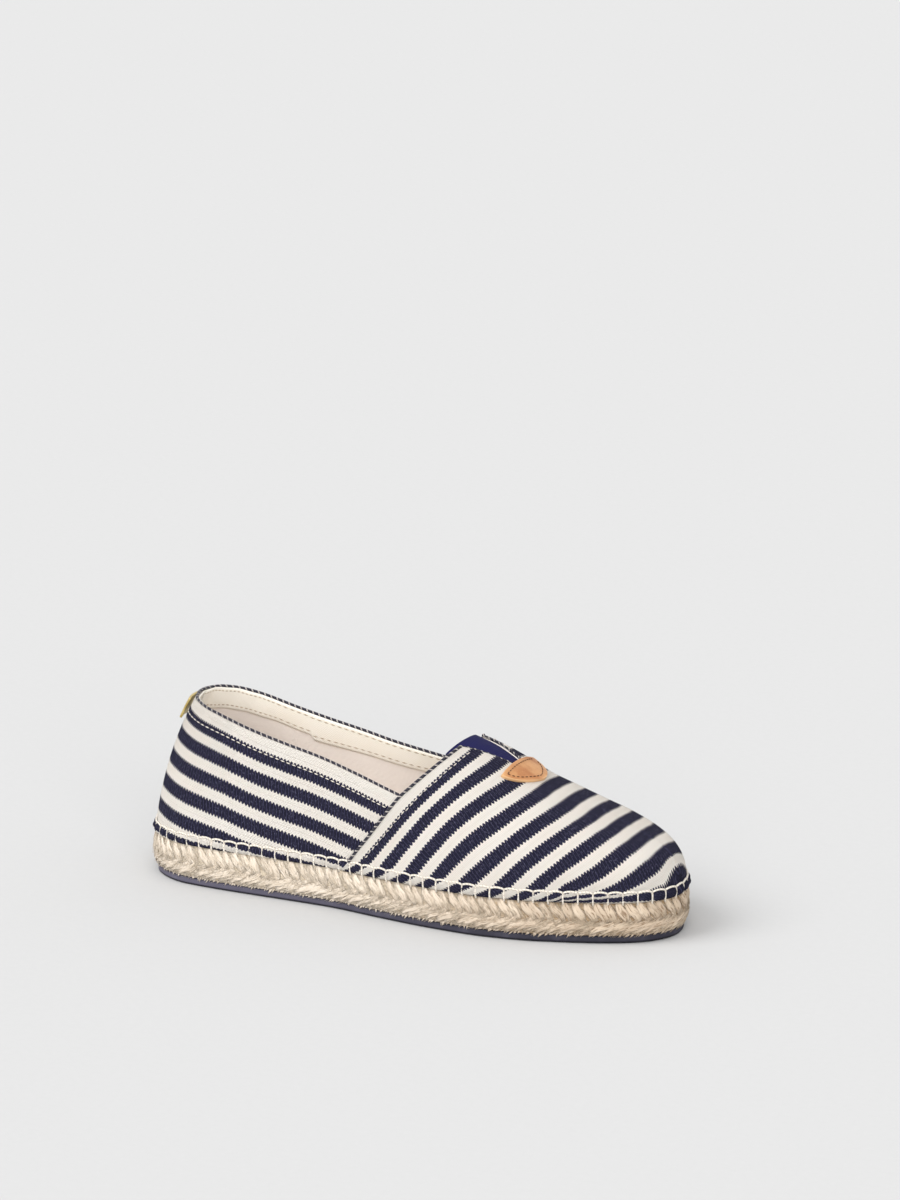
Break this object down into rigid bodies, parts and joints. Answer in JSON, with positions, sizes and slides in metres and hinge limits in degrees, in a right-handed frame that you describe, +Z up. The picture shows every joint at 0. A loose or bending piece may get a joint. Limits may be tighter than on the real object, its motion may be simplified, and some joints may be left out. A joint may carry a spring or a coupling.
{
  "type": "espadrille",
  "caption": "Right slip-on espadrille: striped canvas upper with elastic throat notch, stitched to a flat jute sole with a thin rubber tread.",
  "frame": {"origin": "on the floor, under the centre of the shoe's box", "axes": "+X from heel to toe, +Y towards the inner (medial) side, +Z up"},
  "size_m": [0.2536, 0.087, 0.0804],
  "materials": {
    "tread_rubber": "dark slate, matt, lightly scuffed",
    "jute_braid": "natural braided jute, fuzzy",
    "insole_cloth": "light grey-beige cloth",
    "canvas": "ribbed cotton canvas in cream and navy stripes",
    "elastic": "smooth navy elastic webbing",
    "tab_leather": "tan leather with pale cut edge",
    "tag_metal": "pale brass, satin"
  },
  "bodies": {
    "root": {"outsole": "tread_rubber", "jute_sole": "jute_braid", "insole": "insole_cloth", "upper": "canvas", "elastic_gore": "elastic", "leather_tab": "tab_leather", "heel_tag": "tag_metal"}
  },
  "joints": []
}
